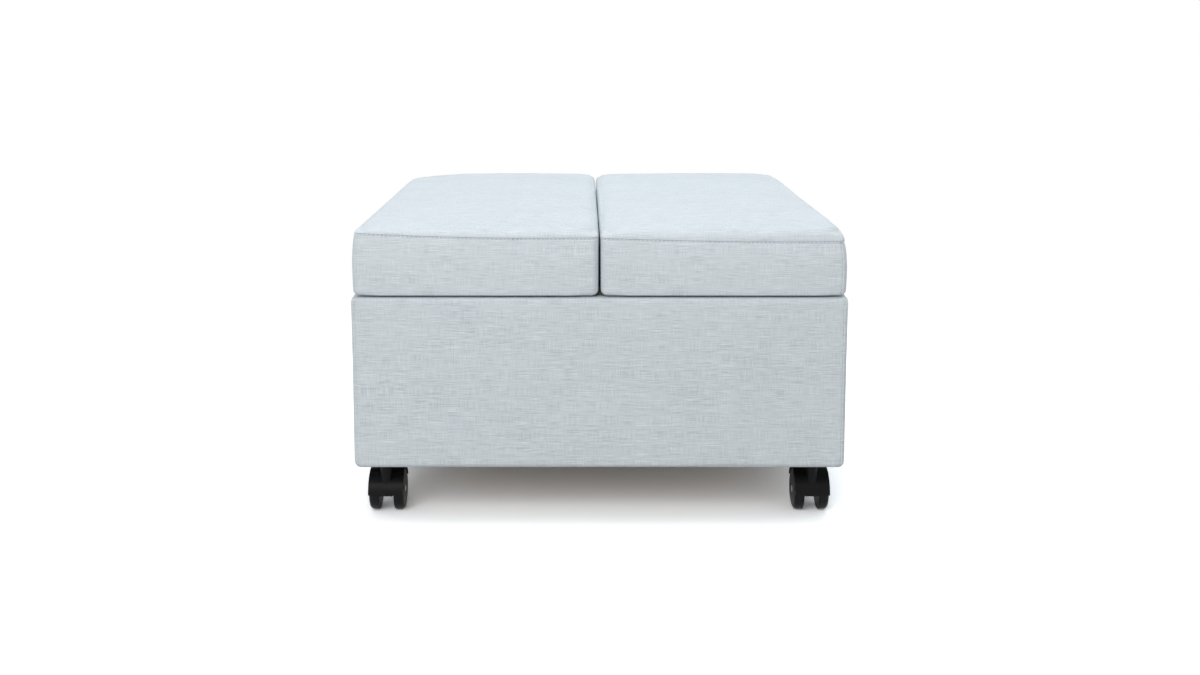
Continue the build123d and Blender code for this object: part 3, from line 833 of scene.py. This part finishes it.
covers = [
    ("front_cover", "front_board", "base", (X, Z, -Y), (0.45, 1.0, 1.0), True),
    ("back_cover", "back_board", "base", (-X, Z, Y), (0.45, 1.0, 1.0), True),
    ("left_top_rail_cover", "left_top_rail", "base", (-Y, Z, -X), (0.45, 0.35, 0.3), False),
    ("right_top_rail_cover", "right_top_rail", "base", (Y, Z, X), (0.45, 0.35, 0.3), False),
    ("left_end_cover", "left_end_board", "left_carriage", (-Y, Z, -X), (0.3, 0.35, 1.0), False),
    ("right_end_cover", "right_end_board", "right_carriage", (Y, Z, X), (0.3, 0.35, 1.0), False),
]
for seed, (node, board, body, axes, rounding, seamed) in enumerate(covers, FIRST_COVER_SEED):
    turn = np.array(axes)
    centre, size = node_span(node)
    half = abs(turn @ size)
    board_centre, board_size = node_span(board)
    board_half = abs(turn @ board_size)
    reach = turn @ (board_centre - centre)
    pocket = (board_half[0], board_half[1], reach[2] + board_half[2] + half[2])
    seams = [sign * (half[0] - COVER_UPRIGHT) for sign in (-1, 1)] if seamed else []
    extra = np.concatenate([place + SEAM_LINE for place in seams]) if seams else ()
    shape = rounded(half, COVER_ZONES, COVER_CORNER, edge_softness(half, *rounding))
    grid, points, faces, uvs = soft_box(half, COVER_ZONES, GRID_SPACING, shape, (extra, (), ()), pocket)
    points += outward(points, faces) * cover_form(half, seams, seed)(grid)[:, None]
    cover = make_piece(f"{node}_soft", points, faces, uvs, box_linen, axes, centre)
    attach(cover, body)
    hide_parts(node)
print(len(covers), "covers")

# %% [markdown]
# ## The mattress
# The mattress shows only when the bed is open. It is quilted in diamonds: two sets of sewn lines press the
# ticking in, and the filling swells between them. A bump would not show at its edge, so the points move.
# %% Mattress
QUILT_SPACING = 0.007
MATTRESS_ZONES, MATTRESS_CORNER, MATTRESS_FADE = (0.012, 0.012), 0.060, 0.05
DIAMOND, DIAMOND_DEPTH = 0.14, 0.006
MATTRESS_UNEVEN, MATTRESS_SEED = 0.0004, 41


def quilt(a, b, pitch, depth):
    """Pressed in along two sets of lines: depth times the root of the product of two sines, less depth."""
    swell = abs(np.sin(math.pi * a / pitch) * np.sin(math.pi * b / pitch))
    return depth * (np.sqrt(swell) - 1)


def edge_fade(half, u, v, length):
    """0 at the sides, 1 from that length in, and a straight line between."""
    return ramp(np.minimum(half[0] - abs(u), half[1] - abs(v)), 0, length)


centre, half = node_span("center_mattress")
mattress_shape = rounded(half, MATTRESS_ZONES, MATTRESS_CORNER)
grid, points, faces, uvs = soft_box(half, MATTRESS_ZONES, QUILT_SPACING, mattress_shape)
u, v, w = grid.T
diamonds = np.where(abs(w) >= half[2] - TOUCH, quilt(u + v, u - v, DIAMOND, DIAMOND_DEPTH), 0)
uneven = ripple(grid, MATTRESS_SEED, MATTRESS_UNEVEN)
move = diamonds * edge_fade(half, u, v, MATTRESS_FADE) + uneven - MATTRESS_UNEVEN
points += outward(points, faces) * move[:, None]
mattress = make_piece("center_mattress_soft", points, faces, uvs, mattress_ticking, (X, Y, Z), centre)
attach(mattress, "base")
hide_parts("center_mattress")
print(mattress.name, len(points), "points")

# %% [markdown]
# ## The sleeping pads
# A thin pad lies on the underside of each cushion and faces up when the cushion is flipped. It is quilted in
# squares by the same formula, with its lines along the pad instead of across it.
# %% Sleeping pads
PAD_ZONES, PAD_CORNER, PAD_FADE = (0.006, 0.003), 0.008, 0.03
SQUARE, SQUARE_DEPTH = 0.101, 0.0045

for name in ("left", "right"):
    centre, size = node_span(f"{name}_sleep_pad")
    half = size[[1, 0, 2]]
    grid, points, faces, uvs = soft_box(half, PAD_ZONES, QUILT_SPACING, rounded(half, PAD_ZONES, PAD_CORNER))
    u, v, w = grid.T
    squares = np.where(w >= half[2] - TOUCH, quilt(u, v, SQUARE, SQUARE_DEPTH), 0)
    points += outward(points, faces) * (squares * edge_fade(half, u, v, PAD_FADE))[:, None]
    pad = make_piece(f"{name}_sleep_pad_soft", points, faces, uvs, pad_ticking, (Y, X, -Z), centre)
    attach(pad, f"{name}_wing")
    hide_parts(f"{name}_sleep_pad")
    print(pad.name, len(points), "points")

# %% [markdown]
# ## The floor
# The photograph has a white ground with a soft shadow. A white floor under strong light would give that, but
# it would also throw its light onto the object. So the floor is white only to the camera and in reflections,
# and gives the object plain light. It still takes the object's shadow, and turns pure white further away.
# %% Floor
FLOOR_SIZE = 40
PLAIN_FLOOR, SEEN_FLOOR = (0.5, 0.5, 0.5, 1), (1.47, 1.51, 1.54, 1)
FLOOR_GLOW = 0.03
WHITE_FROM, WHITE_AT = 0.85, 1.6


def shows_white(nodes):
    """1 for rays of the camera, of reflections and of refractions; 0 for the light that the object gets."""
    camera_ray, glossy, refracted = (nodes.node("LightPath", output=f"Is {kind} Ray")
                                     for kind in ("Camera", "Glossy", "Transmission"))
    return camera_ray.math("MAXIMUM", glossy).math("MAXIMUM", refracted)


def floor_finish():
    """Plain diffuse for the light that the object gets; where seen, brighter, and white from 1.6 m away."""
    material = bpy.data.materials.new("studio_floor")
    material.use_nodes = True
    material.node_tree.nodes.clear()
    nodes = Nodes(material.node_tree)
    plain = nodes.node("BsdfDiffuse", None, {"Color": PLAIN_FLOOR})
    bright = nodes.node("BsdfDiffuse", None, {"Color": SEEN_FLOOR})
    glow = nodes.node("Emission", None, {"Strength": FLOOR_GLOW})
    near = nodes.node("AddShader", None, {0: bright, 1: glow})
    place = nodes.node("TexCoord", output="Object")
    distance = nodes.node("VectorMath", {"operation": "LENGTH"}, {0: place}, "Value")
    white = nodes.node("Emission", None, {"Strength": 1.0})
    seen = nodes.node("MixShader", None, {0: distance.between(WHITE_FROM, WHITE_AT), 1: near, 2: white})
    shown = nodes.node("MixShader", None, {0: shows_white(nodes), 1: plain, 2: seen})
    nodes.node("OutputMaterial", None, {"Surface": shown})
    return material


floor_points = np.array([(-1, -1, 0), (1, -1, 0), (1, 1, 0), (-1, 1, 0)]) * FLOOR_SIZE / 2
floor = make_piece("floor", floor_points, np.array([[0, 1, 2, 3]]), None, floor_finish())
print("floor of", FLOOR_SIZE, "m, white from", WHITE_AT, "m")

# %% [markdown]
# ## The backdrop
# Behind the object there is only white. The world around the scene can be that backdrop: white where it is
# seen, and a plain soft light where it only lights the object.
# %% World
WHITE = (1, 1, 1, 1)
SOFT_STRENGTH = 0.62

world = bpy.data.worlds.new("studio")
bpy.context.scene.world = world
world.use_nodes = True
world.node_tree.nodes.clear()
sky = Nodes(world.node_tree)
soft_light = sky.node("Background", None, {"Color": WHITE, "Strength": SOFT_STRENGTH})
backdrop = sky.node("Background", None, {"Color": WHITE, "Strength": 1.0})
shown = sky.node("MixShader", None, {0: shows_white(sky), 1: soft_light, 2: backdrop})
sky.node("OutputWorld", None, {"Surface": shown})
print("world light", SOFT_STRENGTH)

# %% [markdown]
# ## The lamps
# The photograph has no hard shadow, so its lamps were large. Many small ones could be set to match, but two
# are enough: a large one in front and one above. The upper one is a little bluer, as the photograph's top is
# bluer than its front.
# %% Lamps
LOOK_AT = Vector((0, 0, 0.3))


def soft_lamp(name, place, size, power, colour):
    """A large square lamp that looks at the middle of the object."""
    lamp = bpy.data.objects.new(name, bpy.data.lights.new(name, "AREA"))
    bpy.context.scene.collection.objects.link(lamp)
    lamp.data.size, lamp.data.energy, lamp.data.color = size, power, colour
    lamp.location = place
    lamp.rotation_euler = (LOOK_AT - Vector(place)).to_track_quat("-Z", "Y").to_euler()
    print(name, power, "W")


soft_lamp("front_lamp", (-1.2, -4.0, 2.6), 2.6, 92, (1.0, 0.99, 0.975))
soft_lamp("top_lamp", (0.3, 0.4, 3.6), 2.8, 55, (0.88, 0.95, 1.0))
bpy.context.scene.view_settings.view_transform = "Standard"
